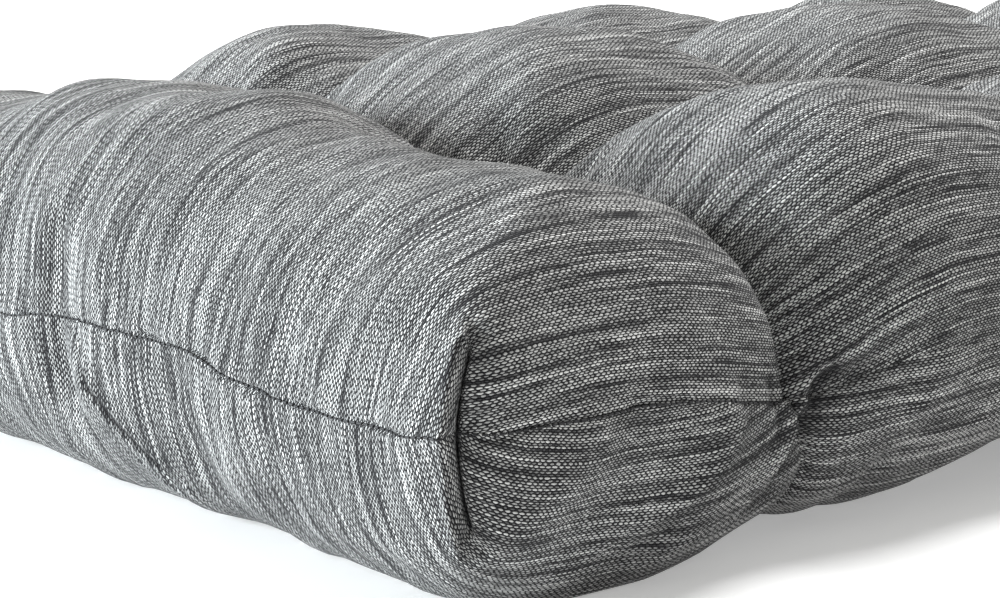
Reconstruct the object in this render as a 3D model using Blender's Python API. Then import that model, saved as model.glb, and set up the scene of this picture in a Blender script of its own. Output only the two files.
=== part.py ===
# A tufted bench cushion, lying flat: one filled solid with its lobes, pits, creases and folds.
# Metres, +Z is up, and +X runs along the cushion's long sides.
import math

import bpy
import numpy as np

# Rows and columns of lobes, and the tufts between them
tuftPitchX = 0.172      # from tuft to tuft along the length
tuftPitchY = 0.177      # from tuft to tuft across the depth
endLobe = 0.148         # from an end to the first tuft
sideLobe = 0.144        # from a long side to the first tuft
tuftColumns = 6
tuftRows = 2
length = 2 * endLobe + (tuftColumns - 1) * tuftPitchX
depth = 2 * sideLobe + (tuftRows - 1) * tuftPitchY

# Heights above the surface that it rests on
seamHeight = 0.059
seamSag = 0.006         # at a crease of the long sides
crownHeight = 0.150     # lobes in the middle row
sideFall = 0.011        # how much lower the lobes along a long side are
endFall = 0.012         # how much lower the lobes along an end are
cornerFall = 0.006      # what a corner lobe loses on top of both
restingSquash = 0.006   # what the weight flattens under each lobe

# How round the walls are, as superellipse quarters above and below the seam
topRound = 0.080
topPower = 2.3
underRound = 0.064
underRoundFull = 0.045  # along the long sides of the corner lobes, which are stuffed fuller
underPower = 2.3
cornerRadius = 0.050    # of the outline, at a boxed corner

# Depths of the pits at the tufts and of the creases between them
topDepths = {"pit": 0.068, "inner": 0.034, "side": 0.040, "end": 0.012}
underDepths = {"pit": 0.030, "inner": 0.010, "side": 0.014, "end": 0.004}
creaseSharpness = 0.74  # under 1, so two lobes meet in a sharp line
fullSharpness = 0.50    # the same for the lobes at the ends, which are stuffed fuller
pitSpread = 1.3         # under 2, so a crease falls into its pits over most of its length
pullBlend = 5           # how hard the deeper of two crossing creases wins
crestReach = 0.55       # of an edge lobe's width, from its crease to its crest
edgeEase = 0.050        # how far into the middle lobes the edge lobes' shape is felt

# How far the sides are drawn in
sideCreaseIn = 0.020    # at a crease that runs from a tuft to a long side
underCreaseIn = 0.009   # what is left of that below the seam
endCreaseIn = 0.006     # at the soft valleys of the ends
sideWaist = 0.006       # between the corners, on the long sides
endWaist = 0.004        # and on the ends

# Tufts that sit off the regular grid, and lobes that are fuller or flatter than their neighbours
tuftShifts = (
    {"column": 0, "row": 0, "alongX": -0.008, "alongY": 0.002},
    {"column": 1, "row": 0, "alongX": -0.010, "alongY": 0.003},
    {"column": 3, "row": 0, "alongX": 0.005, "alongY": -0.003},
    {"column": 3, "row": 1, "alongX": -0.003, "alongY": 0.004},
    {"column": 5, "row": 1, "alongX": 0.004, "alongY": -0.004},
)
lobeRises = (
    {"column": 0, "row": 0, "rise": 0.003},
    {"column": 1, "row": 0, "rise": 0.004},
    {"column": 2, "row": 0, "rise": 0.002},
    {"column": 3, "row": 1, "rise": -0.003},
    {"column": 4, "row": 0, "rise": -0.002},
    {"column": 5, "row": 2, "rise": 0.003},
    {"column": 6, "row": 0, "rise": -0.003},
)
# Where each crease meets the seam of the near side and of the far side, off its tuft's own place,
# and how deep it is on its way there
sideCreases = (
    {"column": 0, "nearSeam": 0.000, "farSeam": 0.004, "share": 1.0},
    {"column": 1, "nearSeam": -0.042, "farSeam": -0.006, "share": 0.8},
    {"column": 2, "nearSeam": -0.016, "farSeam": 0.006, "share": 1.0},
    {"column": 3, "nearSeam": 0.006, "farSeam": 0.003, "share": 0.9},
    {"column": 4, "nearSeam": -0.007, "farSeam": 0.010, "share": 1.0},
    {"column": 5, "nearSeam": 0.004, "farSeam": -0.004, "share": 1.0},
)

# Folds on the walls by the near corner: places along a wall from that corner, and up it
wallFolds = (
    {"wall": "end", "fromAlong": 0.205, "fromUp": 0.048, "toAlong": 0.160, "toUp": 0.014,
     "width": 0.013, "rise": 0.005},
    {"wall": "end", "fromAlong": 0.221, "fromUp": 0.080, "toAlong": 0.219, "toUp": 0.042,
     "width": 0.012, "rise": -0.004},
    {"wall": "side", "fromAlong": 0.016, "fromUp": 0.027, "toAlong": 0.055, "toUp": 0.053,
     "width": 0.012, "rise": 0.003},
    {"wall": "side", "fromAlong": 0.114, "fromUp": 0.048, "toAlong": 0.092, "toUp": 0.015,
     "width": 0.010, "rise": 0.003},
)
# The gather that each side crease ends in: a lap of cloth, with a groove behind it
creaseGather = (
    {"fromOver": 0.006, "fromUp": 0.066, "toOver": -0.016, "toUp": 0.018, "width": 0.009, "rise": 0.008},
    {"fromOver": 0.019, "fromUp": 0.060, "toOver": 0.000, "toUp": 0.018, "width": 0.009, "rise": -0.004},
)

# Cells from one crease to the next, and from an edge to its first crease
cellsInLobe = 10
cellsInWall = 8
cellsBehindWall = 3
creaseBunching = 0.35   # how much closer the cells are at a crease
wallBunching = 1.15     # how much closer the cells are at the seam

cloth = {"colour": (0.205, 0.205, 0.215, 1.0), "roughness": 0.92}

tuftX = [-length / 2 + endLobe + tuftPitchX * k for k in range(tuftColumns)]
tuftY = [-depth / 2 + sideLobe + tuftPitchY * k for k in range(tuftRows)]


def clearScene():
    for item in list(bpy.data.objects):
        bpy.data.objects.remove(item, do_unlink=True)


# Grid lines from one edge to the other, close together at the wall and at each crease
def stations(half, tufts, firstLobe):
    edge = []
    for k in range(cellsInWall + 1):
        turn = math.pi / 2 * (k / cellsInWall) ** wallBunching
        edge.append(topRound * (1 - math.cos(turn) ** (2 / topPower)) - half)
    for k in range(1, cellsBehindWall + 1):
        edge.append(topRound + (firstLobe - topRound) * k / cellsBehindWall - half)
    inner = []
    for start, stop in zip(tufts, tufts[1:]):
        for k in range(1, cellsInLobe + 1):
            turn = 2 * math.pi * k / cellsInLobe
            eased = (turn - creaseBunching * math.sin(turn)) / (2 * math.pi)
            inner.append(start + (stop - start) * eased)
    return np.array(edge + inner[:-1] + [-place for place in reversed(edge)])


# 0 on each tuft line and 1 on the crest of a lobe; it stays 1 from an edge lobe's crest outwards
def lobeWave(place, half, tufts):
    reach = crestReach * (half - tufts[-1])
    wave = np.sin(np.pi / 2 * np.clip((np.abs(place) - tufts[-1]) / reach, 0, 1))
    for start, stop in zip(tufts, tufts[1:]):
        inside = (place >= start) & (place <= stop)
        wave = np.where(inside, np.sin(np.pi * (place - start) / (stop - start)), wave)
    return np.clip(wave, 0, 1)


# 0 over the middle lobes and 1 on the lobes at the edge, eased between them
def edgeShare(place, half, tufts):
    start = tufts[-1] - edgeEase
    share = np.clip((np.abs(place) - start) / (edgeEase + (half - tufts[-1]) / 2), 0, 1)
    return share * share * (3 - 2 * share)


# One column of a table as a grid of lobes or of tufts, 0 where the table has no row
def tableGrid(table, column, countX, countY):
    grid = np.zeros((countX, countY))
    for entry in table:
        grid[entry["column"], entry["row"]] = entry[column]
    return grid


# The line before a place, and how far on towards the next line it is, eased
def between(place, lines):
    found = np.clip(np.searchsorted(lines, place, side="right") - 1, 0, len(lines) - 2)
    start = np.take(lines, found)
    part = np.clip((place - start) / (np.take(lines, found + 1) - start), 0, 1)
    return found, part * part * (3 - 2 * part)


# A smooth surface through values that stand where two sets of lines cross
def onGrid(grid, linesX, linesY, x, y):
    i, a = between(x, linesX)
    j, b = between(y, linesY)
    low = grid[i, j] * (1 - b) + grid[i, j + 1] * b
    high = grid[i + 1, j] * (1 - b) + grid[i + 1, j + 1] * b
    return low * (1 - a) + high * a


# The crest lines of the lobes, from one edge to the other
def lobeCrests(half, tufts):
    outer = (tufts[-1] + half) / 2
    return [-outer] + [(a + b) / 2 for a, b in zip(tufts, tufts[1:])] + [outer]


# 0 at the seam, 1 where the wall has turned flat
def roundedEdge(inset, roundness, power):
    left = np.clip(1 - inset / roundness, 0, 1)
    return (1 - left ** power) ** (1 / power)


# How far the cloth is pulled down at a place, by the crease lines and the pits
def lobeDrop(x, waveX, waveY, outX, outY, depths):
    share = np.interp(x, tuftX, [crease["share"] for crease in sideCreases])
    acrossLong = depths["inner"] + (depths["side"] * share - depths["inner"]) * outY
    acrossEnd = depths["inner"] + (depths["end"] - depths["inner"]) * outX
    alongY = acrossLong + (depths["pit"] - acrossLong) * (1 - waveY) ** pitSpread
    alongX = acrossEnd + (depths["pit"] - acrossEnd) * (1 - waveX) ** pitSpread
    sharpness = creaseSharpness + (fullSharpness - creaseSharpness) * outX
    dropX = alongY * (1 - waveX ** sharpness)
    dropY = alongX * (1 - waveY ** sharpness)
    return (dropX ** pullBlend + dropY ** pullBlend) ** (1 / pullBlend)


# How far one fold stands out of a wall, or sinks into it, at a place along and up it
def foldRelief(along, up, start, stop, fold):
    runAlong = stop[0] - start[0]
    runUp = stop[1] - start[1]
    part = ((along - start[0]) * runAlong + (up - start[1]) * runUp) / (runAlong ** 2 + runUp ** 2)
    part = np.clip(part, 0, 1)
    gap = np.hypot(along - start[0] - part * runAlong, up - start[1] - part * runUp)
    return fold["rise"] * np.exp(-(gap / fold["width"]) ** 2)


# How far the folds push the end walls and the side walls outwards
def foldsOut(x, y, z):
    endOut = np.zeros_like(x)
    sideOut = np.zeros_like(x)
    for fold in wallFolds:
        start = (fold["fromAlong"], fold["fromUp"])
        stop = (fold["toAlong"], fold["toUp"])
        if fold["wall"] == "end":
            endOut += foldRelief(y + depth / 2, z, start, stop, fold) * (x < 0)
        else:
            sideOut += foldRelief(x + length / 2, z, start, stop, fold) * (y < 0)
    for tuft in tuftX:
        for fold in creaseGather:
            start = (tuft + fold["fromOver"], fold["fromUp"])
            stop = (tuft + fold["toOver"], fold["toUp"])
            sideOut += foldRelief(x, z, start, stop, fold)
    return endOut, sideOut


# How far the grid lines are slid along X and Y, so that they pass through the uneven tufts
# and reach the seam where its creases do
def gridSlide(x, y, nearSide):
    insetX = np.clip((length / 2 - np.abs(x)) / endLobe, 0, 1)
    insetY = np.clip((depth / 2 - np.abs(y)) / sideLobe, 0, 1)
    tuftsX = tableGrid(tuftShifts, "alongX", tuftColumns, tuftRows)
    tuftsY = tableGrid(tuftShifts, "alongY", tuftColumns, tuftRows)
    slideX = onGrid(tuftsX, tuftX, tuftY, x, y) * insetX * insetY
    slideY = onGrid(tuftsY, tuftX, tuftY, x, y) * insetX * insetY
    for side, column in ((-1, "nearSeam"), (1, "farSeam")):
        atSeam = np.interp(x, tuftX, [crease[column] for crease in sideCreases])
        slideX += atSeam * insetX * nearSide * (np.sign(y) == side)
    return slideX, slideY


# Where a place of the flat grid comes to lie, seen from above: boxed corners, waists,
# drawn-in creases and folds
def outline(x, y, z, waveX, waveY, creaseIn):
    insetX = length / 2 - np.abs(x)
    insetY = depth / 2 - np.abs(y)
    cornerX = np.clip(1 - insetX / cornerRadius, 0, 1)
    cornerY = np.clip(1 - insetY / cornerRadius, 0, 1)
    moveX = cornerRadius * cornerX * (1 - np.sqrt(1 - cornerY ** 2 / 2))
    moveY = cornerRadius * cornerY * (1 - np.sqrt(1 - cornerX ** 2 / 2))
    nearSide = np.clip(1 - insetY / topRound, 0, 1)
    nearEnd = np.clip(1 - insetX / topRound, 0, 1)
    awayFromEnd = 1 - (2 * x / length) ** 4
    awayFromSide = 1 - (2 * y / depth) ** 4
    endOut, sideOut = foldsOut(x, y, z)
    moveY += nearSide * (sideWaist * awayFromEnd + creaseIn * (1 - waveX ** fullSharpness) - sideOut)
    moveX += nearEnd * (endWaist * awayFromSide + endCreaseIn * (1 - waveY ** fullSharpness) - endOut)
    slideX, slideY = gridSlide(x, y, nearSide)
    return x - np.sign(x) * moveX + slideX, y - np.sign(y) * moveY + slideY


# One face of the cushion, from its seam up to its lobes or down to where it rests
def panel(x, y, isTop):
    waveX = lobeWave(x, length / 2, tuftX)
    waveY = lobeWave(y, depth / 2, tuftY)
    outX = edgeShare(x, length / 2, tuftX)
    outY = edgeShare(y, depth / 2, tuftY)
    if isTop:
        rises = tableGrid(lobeRises, "rise", tuftColumns + 1, tuftRows + 1)
        lift = onGrid(rises, lobeCrests(length / 2, tuftX), lobeCrests(depth / 2, tuftY), x, y)
        crest = crownHeight + lift - sideFall * outY - endFall * outX - cornerFall * outX * outY
        level = crest - lobeDrop(x, waveX, waveY, outX, outY, topDepths)
        roundEnd = topRound
        roundSide = topRound
        power = topPower
    else:
        level = lobeDrop(x, waveX, waveY, outX, outY, underDepths) - restingSquash
        roundEnd = underRound
        roundSide = underRound + (underRoundFull - underRound) * outX
        power = underPower
    seam = seamHeight - seamSag * (1 - waveX) * outY
    rise = roundedEdge(length / 2 - np.abs(x), roundEnd, power)
    rise = rise * roundedEdge(depth / 2 - np.abs(y), roundSide, power)
    z = np.maximum(seam + (level - seam) * rise, 0)
    belowSeam = np.sqrt(np.clip(1 - z / seam, 0, 1))
    creaseIn = sideCreaseIn + (underCreaseIn - sideCreaseIn) * belowSeam
    lyingX, lyingY = outline(x, y, z, waveX, waveY, creaseIn)
    return np.stack([lyingX, lyingY, z], axis=-1)


# Two lobed panels on the same grid, which share their outer ring of points: the seam
def cushionMesh():
    placesX = stations(length / 2, tuftX, endLobe)
    placesY = stations(depth / 2, tuftY, sideLobe)
    x, y = np.meshgrid(placesX, placesY, indexing="ij")
    top = panel(x, y, True)
    under = panel(x, y, False)
    centre = (top.min(axis=(0, 1)) + top.max(axis=(0, 1))) / 2 * (1, 1, 0)
    countX, countY = x.shape
    points = [tuple(place) for place in (top - centre).reshape(-1, 3)]
    topIndex = np.arange(countX * countY).reshape(countX, countY)
    underIndex = topIndex.copy()
    for i in range(1, countX - 1):
        for j in range(1, countY - 1):
            underIndex[i, j] = len(points)
            points.append(tuple(under[i, j] - centre))
    faces = []
    for i in range(countX - 1):
        for j in range(countY - 1):
            ring = [(i, j), (i + 1, j), (i + 1, j + 1), (i, j + 1)]
            towardsCorner = (i < countX / 2) == (j < countY / 2)
            cut = ((0, 1, 2), (0, 2, 3)) if towardsCorner else ((0, 1, 3), (1, 2, 3))
            for corners in cut:
                faces.append([int(topIndex[ring[k]]) for k in corners])
                faces.append([int(underIndex[ring[k]]) for k in reversed(corners)])
    mesh = bpy.data.meshes.new("cushion")
    mesh.from_pydata(points, [], faces)
    mesh.validate()
    mesh.update()
    return mesh


def clothMaterial():
    material = bpy.data.materials.new("wovenCloth")
    material.use_nodes = True
    shader = material.node_tree.nodes["Principled BSDF"]
    shader.inputs["Base Color"].default_value = cloth["colour"]
    shader.inputs["Roughness"].default_value = cloth["roughness"]
    shader.inputs["Metallic"].default_value = 0.0
    material.diffuse_color = cloth["colour"]
    return material


def buildCushion():
    mesh = cushionMesh()
    mesh.materials.append(clothMaterial())
    mesh.shade_smooth()
    cushion = bpy.data.objects.new("cushion", mesh)
    bpy.context.scene.collection.objects.link(cushion)
    return cushion


clearScene()
buildCushion()
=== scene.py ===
import math

import bmesh
import bpy
import numpy as np
from mathutils import Matrix, Vector


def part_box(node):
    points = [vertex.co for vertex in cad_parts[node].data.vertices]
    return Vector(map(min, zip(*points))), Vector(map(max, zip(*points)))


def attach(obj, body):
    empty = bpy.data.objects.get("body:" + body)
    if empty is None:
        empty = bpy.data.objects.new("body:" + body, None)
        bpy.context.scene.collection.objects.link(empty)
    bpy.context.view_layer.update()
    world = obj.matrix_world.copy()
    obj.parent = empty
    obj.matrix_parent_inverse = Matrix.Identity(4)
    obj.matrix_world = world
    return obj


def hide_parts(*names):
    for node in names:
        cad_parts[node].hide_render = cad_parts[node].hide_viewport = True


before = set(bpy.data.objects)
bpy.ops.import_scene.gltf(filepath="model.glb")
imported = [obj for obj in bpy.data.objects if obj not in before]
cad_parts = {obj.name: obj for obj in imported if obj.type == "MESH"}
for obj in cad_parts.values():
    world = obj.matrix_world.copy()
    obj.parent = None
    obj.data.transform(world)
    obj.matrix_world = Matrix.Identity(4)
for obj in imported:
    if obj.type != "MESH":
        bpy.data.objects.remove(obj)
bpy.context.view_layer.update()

# The cushion lies on the floor with +X along its long sides; all sizes are in metres

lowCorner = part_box("cushion")[0]
nearCorner = Vector((lowCorner.x, lowCorner.y, 0.0))  # the corner that faces the camera

cushion = {
    "tuftPitch": (0.172, 0.177),  # along the length and across the depth
    "endLobe": 0.148,  # from an end to the first tuft
    "sideLobe": 0.144,  # from a long side to the first tuft
    "tufts": (6, 2),
    "seamHeight": 0.0615,
    "seamSag": 0.0115,
    "endSeamDip": 0.0024,  # under the middle of each lobe along the ends
    "dipEase": 0.03,
    "crownHeight": 0.15,
    "sideFall": 0.011,
    "endFall": 0.012,
    "cornerFall": 0.006,
    "restingSquash": 0.006,
    # Each panel: how round it is by the ends, by the sides and on the corner lobes, how squarely its walls
    # meet at a corner, and how deep its pits and creases are
    "top": {"end": 0.08, "side": 0.08, "full": 0.066, "fullStart": 1.0, "power": 2.3, "boxiness": 2.4,
            "depths": {"pit": 0.068, "inner": 0.034, "side": 0.04, "end": 0.003}},
    "under": {"end": 0.071, "side": 0.1, "full": 0.038, "fullStart": 0.25, "power": 2.3, "boxiness": 1.0,
              "depths": {"pit": 0.03, "inner": 0.01, "side": 0.016, "end": 0.002}},
    "cornerRadius": 0.024,
    "creaseSharpness": 0.74,
    "fullSharpness": 0.5,
    "endSharpness": 1.5,
    "pitSpread": 1.3,
    "pullBlend": 5,
    "crestReach": 0.55,
    "edgeEase": 0.05,
    "sideCreaseIn": 0.02,
    "underCreaseIn": 0.0105,
    "underCreaseStart": 0.3,  # how soon below the seam a crease gets that shallow
    "endCreaseIn": 0.0015,
    "sideWaist": 0.006,
    "endWaist": 0.004,
    "waistPower": 4,
}


# Each row of a table becomes a dictionary, under the names of its columns
def table(names, *rows):
    return [dict(zip(names.split(), row)) for row in rows]


# Tufts off the regular grid, and lobes fuller or flatter than their neighbours
tuftShifts = table(
    "column row alongX alongY",
    (0, 0, -0.008, 0.002),
    (1, 0, -0.01, 0.003),
    (3, 0, 0.005, -0.003),
    (3, 1, -0.003, 0.004),
    (5, 1, 0.004, -0.004),
)
lobeRises = table(
    "column row rise",
    (0, 0, 0.003), (0, 1, -0.002), (1, 0, 0.004), (2, 0, 0.005),
    (3, 1, -0.003), (4, 0, -0.002), (5, 2, 0.003), (6, 0, -0.003),
)
# Each crease from the near end on: how far it has moved where it meets the near and the far seam, its depth
# on top and underneath as a share, how deep it is drawn into the wall, and how sharp it is there
sideCreases = table(
    "nearSeam farSeam share under wall narrow",
    (0.002, 0.004, 1.0, 1.0, 1.15, 0.32),
    (-0.042, -0.006, 0.35, 1.6, 1.0, 0.38),
    (-0.016, 0.006, 1.0, 1.0, 1.0, 0.5),
    (0.006, 0.003, 0.9, 0.9, 1.0, 0.5),
    (-0.007, 0.01, 1.0, 1.0, 1.0, 0.5),
    (0.004, -0.004, 1.0, 1.0, 1.0, 0.5),
)
# The near wall's first crease wanders on its way down: heights, and how far over it stands there
creasePath = {
    "column": 0,
    "up": (0.0, 0.014, 0.028, 0.04, 0.048, 0.053, 0.06),
    "over": (0.0115, 0.014, 0.011, 0.0045, 0.0015, 0.0005, 0.0),
    "reach": (0.1, 0.08),
}
# How the near end's seam rises and sinks, from the near corner on
nearEndSeam = {
    "along": (0.0, 0.03, 0.075, 0.1126, 0.146, 0.195, 0.232, 0.255, 0.29, 0.321, 0.395, 0.465),
    "over": (0.0, -0.0024, -0.0034, -0.0012, 0.0038, 0.0038, 0.0012, -0.0018, -0.0008, 0.0024, -0.0024, 0.0),
}
# Soft folds on the walls by the near corner: their ends are places along a wall from that corner, and up it
wallFolds = table(
    "wall start stop width rise",
    ("end", (0.205, 0.048), (0.16, 0.014), 0.013, 0.0025),
    ("end", (0.221, 0.08), (0.219, 0.042), 0.012, -0.004),
    ("side", (0.016, 0.027), (0.055, 0.053), 0.012, 0.003),
    ("side", (0.114, 0.048), (0.092, 0.015), 0.01, 0.003),
)
# The gather that each side crease but the first ends in: a lap of cloth, with a groove behind it
creaseGather = table(
    "start stop width rise",
    ((0.006, 0.066), (-0.016, 0.018), 0.009, 0.008),
    ((0.019, 0.06), (0.0, 0.018), 0.009, -0.004),
)

length = 2 * cushion["endLobe"] + (cushion["tufts"][0] - 1) * cushion["tuftPitch"][0]
depth = 2 * cushion["sideLobe"] + (cushion["tufts"][1] - 1) * cushion["tuftPitch"][1]
halfX, halfY = length / 2, depth / 2
tuftX = [-halfX + cushion["endLobe"] + cushion["tuftPitch"][0] * k for k in range(cushion["tufts"][0])]
tuftY = [-halfY + cushion["sideLobe"] + cushion["tuftPitch"][1] * k for k in range(cushion["tufts"][1])]


# Between 0 and 1
def kept(values):
    return np.clip(values, 0, 1)


def mixed(first, second, part):
    return first + (second - first) * part


def eased(part):
    return part * part * (3 - 2 * part)


def bell(gap, width):
    return np.exp(-(gap / width) ** 2)


def placed(name, data):
    made = bpy.data.objects.new(name, data)
    bpy.context.scene.collection.objects.link(made)
    return made


# A vector of each of a mesh's vertices, as rows of an array
def vectors(items, name):
    values = np.empty(len(items) * 3, dtype=np.float32)
    items.foreach_get(name, values)
    return values.reshape(-1, 3).astype(float)


def moveVertices(mesh, points):
    mesh.vertices.foreach_set("co", points.astype(np.float32).ravel())
    mesh.update()


# 0 on each tuft line and 1 on the crest of a lobe; it stays 1 from an edge lobe's crest outwards
def lobeWave(place, half, tufts):
    reach = cushion["crestReach"] * (half - tufts[-1])
    wave = np.sin(np.pi / 2 * kept((np.abs(place) - tufts[-1]) / reach))
    for start, stop in zip(tufts, tufts[1:]):
        inside = (place >= start) & (place <= stop)
        wave = np.where(inside, np.sin(np.pi * (place - start) / (stop - start)), wave)
    return kept(wave)


# 0 over the middle lobes and 1 on the lobes at the edge
def edgeShare(place, half, tufts):
    ease = cushion["edgeEase"]
    return eased(kept((np.abs(place) - tufts[-1] + ease) / (ease + (half - tufts[-1]) / 2)))


def tableGrid(rows, column, countX, countY):
    grid = np.zeros((countX, countY))
    for entry in rows:
        grid[entry["column"], entry["row"]] = entry[column]
    return grid


# Which of the lines a place comes after, and how far it is on its way to the next
def between(place, lines):
    found = np.clip(np.searchsorted(lines, place, side="right") - 1, 0, len(lines) - 2)
    start = np.take(lines, found)
    return found, eased(kept((place - start) / (np.take(lines, found + 1) - start)))


# A smooth surface through values that stand where two sets of lines cross
def onGrid(grid, linesX, linesY, x, y):
    i, a = between(x, linesX)
    j, b = between(y, linesY)
    low = grid[i, j] * (1 - b) + grid[i, j + 1] * b
    high = grid[i + 1, j] * (1 - b) + grid[i + 1, j + 1] * b
    return low * (1 - a) + high * a


def lobeCrests(half, tufts):
    outer = (tufts[-1] + half) / 2
    return [-outer] + [(a + b) / 2 for a, b in zip(tufts, tufts[1:])] + [outer]


# 0 at the seam, 1 where the wall has turned flat
def roundedEdge(inset, roundness, power):
    left = kept(1 - inset / roundness)
    return (1 - left ** power) ** (1 / power)


# Two walls meet at a corner: the lower of the two heights wins, softly
def cornered(riseX, riseY, boxiness):
    a = np.maximum(riseX, 1e-6) ** -boxiness
    b = np.maximum(riseY, 1e-6) ** -boxiness
    return (a + b - 1) ** (-1 / boxiness)


# A column of the creases' table, at any place along the cushion
def alongCreases(x, column):
    return np.interp(x, tuftX, [crease[column] for crease in sideCreases])


# How far the tufts and creases draw a panel in below its crests
def lobeDrop(x, waveX, waveY, outX, outY, depths, column):
    acrossLong = mixed(depths["inner"], depths["side"] * alongCreases(x, column), outY)
    acrossEnd = mixed(depths["inner"], depths["end"], outX)
    alongY = mixed(acrossLong, depths["pit"], (1 - waveY) ** cushion["pitSpread"])
    alongX = mixed(acrossEnd, depths["pit"], (1 - waveX) ** cushion["pitSpread"])
    sharpness = mixed(cushion["creaseSharpness"], cushion["fullSharpness"], outX)
    endward = mixed(sharpness, cushion["endSharpness"], outX)
    dropX = alongY * (1 - waveX ** sharpness)
    dropY = alongX * (1 - waveY ** endward)
    blend = cushion["pullBlend"]
    return (dropX ** blend + dropY ** blend) ** (1 / blend)


# A soft fold along a straight line, from its start to its stop on a wall
def foldRelief(along, up, fold, shift=0.0):
    (startAlong, startUp), (stopAlong, stopUp) = fold["start"], fold["stop"]
    startAlong, stopAlong = shift + startAlong, shift + stopAlong
    runAlong, runUp = stopAlong - startAlong, stopUp - startUp
    part = kept(((along - startAlong) * runAlong + (up - startUp) * runUp) / (runAlong ** 2 + runUp ** 2))
    gap = np.hypot(along - startAlong - part * runAlong, up - startUp - part * runUp)
    return fold["rise"] * bell(gap, fold["width"])


# How far the folds push the walls outwards
def foldsOut(x, y, z):
    endOut, sideOut = np.zeros_like(x), np.zeros_like(x)
    for fold in wallFolds:
        if fold["wall"] == "end":
            endOut += foldRelief(y + halfY, z, fold) * (x < 0)
        else:
            sideOut += foldRelief(x + halfX, z, fold) * (y < 0)
    for k, tuft in enumerate(tuftX):
        for fold in creaseGather:
            sideOut += foldRelief(x, z, fold, tuft) * ((y > 0) | (k > 0))
    return endOut, sideOut


# The tufts' shifts, and how far each crease has moved along the wall where it meets the seam
def gridSlide(x, y, z, nearSide):
    insetX = kept((halfX - np.abs(x)) / cushion["endLobe"])
    insetY = kept((halfY - np.abs(y)) / cushion["sideLobe"])
    slides = []
    for column in ("alongX", "alongY"):
        shifts = tableGrid(tuftShifts, column, *cushion["tufts"])
        slides.append(onGrid(shifts, tuftX, tuftY, x, y) * insetX * insetY)
    middle = tuftX[creasePath["column"]]
    stretch = (middle - creasePath["reach"][0], middle, middle + creasePath["reach"][1])
    over = np.interp(x, stretch, (0, 1, 0)) * np.interp(z, creasePath["up"], creasePath["over"])
    slides[0] += (alongCreases(x, "nearSeam") + over) * insetX * nearSide * (y < 0)
    slides[0] += alongCreases(x, "farSeam") * insetX * nearSide * (y > 0)
    return slides


# Where a place of the flat grid comes to lie, seen from above
def outline(x, y, z, waveX, waveY, creaseIn):
    insetX, insetY = halfX - np.abs(x), halfY - np.abs(y)
    radius = cushion["cornerRadius"]
    cornerX = kept(1 - insetX / radius)
    cornerY = kept(1 - insetY / radius)
    moveX = radius * cornerX * (1 - np.sqrt(1 - cornerY ** 2 / 2))
    moveY = radius * cornerY * (1 - np.sqrt(1 - cornerX ** 2 / 2))
    nearSide = kept(1 - insetY / cushion["top"]["side"])
    nearEnd = kept(1 - insetX / cushion["top"]["end"])
    awayFromEnd = 1 - (2 * x / length) ** cushion["waistPower"]
    awayFromSide = 1 - (2 * y / depth) ** cushion["waistPower"]
    endOut, sideOut = foldsOut(x, y, z)
    creaseIn = creaseIn * alongCreases(x, "wall")
    sideIn = cushion["sideWaist"] * awayFromEnd + creaseIn * (1 - waveX ** alongCreases(x, "narrow"))
    endCrease = cushion["endCreaseIn"] * (1 - waveY ** cushion["fullSharpness"])
    endIn = cushion["endWaist"] * awayFromSide + endCrease
    moveY += nearSide * (sideIn - sideOut)
    moveX += nearEnd * (endIn - endOut)
    slideX, slideY = gridSlide(x, y, z, nearSide)
    return x - np.sign(x) * moveX + slideX, y - np.sign(y) * moveY + slideY


# One face of the cushion, from its seam up to its lobes or down to where it rests
def panel(x, y, isTop):
    waveX, waveY = lobeWave(x, halfX, tuftX), lobeWave(y, halfY, tuftY)
    outX, outY = edgeShare(x, halfX, tuftX), edgeShare(y, halfY, tuftY)
    form = cushion["top" if isTop else "under"]
    level = lobeDrop(x, waveX, waveY, outX, outY, form["depths"], "share" if isTop else "under")
    if isTop:
        rises = tableGrid(lobeRises, "rise", len(tuftX) + 1, len(tuftY) + 1)
        lift = onGrid(rises, lobeCrests(halfX, tuftX), lobeCrests(halfY, tuftY), x, y)
        crest = cushion["crownHeight"] + lift - cushion["sideFall"] * outY - cushion["endFall"] * outX
        level = crest - cushion["cornerFall"] * outX * outY - level
    else:
        level = level - cushion["restingSquash"]
    insetX, insetY = halfX - np.abs(x), halfY - np.abs(y)
    dip = cushion["endSeamDip"] * (2 * waveY - 1) * outX * kept(insetY / cushion["dipEase"])
    found, part = between(y + halfY, nearEndSeam["along"])
    over = np.take(nearEndSeam["over"], found) * (1 - part) + np.take(nearEndSeam["over"], found + 1) * part
    dip = np.where(x < 0, -over * outX, dip)
    seam = cushion["seamHeight"] - cushion["seamSag"] * (1 - waveX) * outY - dip
    riseX = roundedEdge(insetX, form["end"], form["power"])
    riseY = roundedEdge(insetY, mixed(form["side"], form["full"], outX ** form["fullStart"]), form["power"])
    rise = cornered(riseX, riseY, form["boxiness"])
    z = np.maximum(mixed(seam, level, rise), 0)
    belowSeam = kept(1 - z / seam) ** cushion["underCreaseStart"]
    creaseIn = mixed(cushion["sideCreaseIn"], cushion["underCreaseIn"], belowSeam)
    return np.stack([*outline(x, y, z, waveX, waveY, creaseIn), z], axis=-1)


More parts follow.
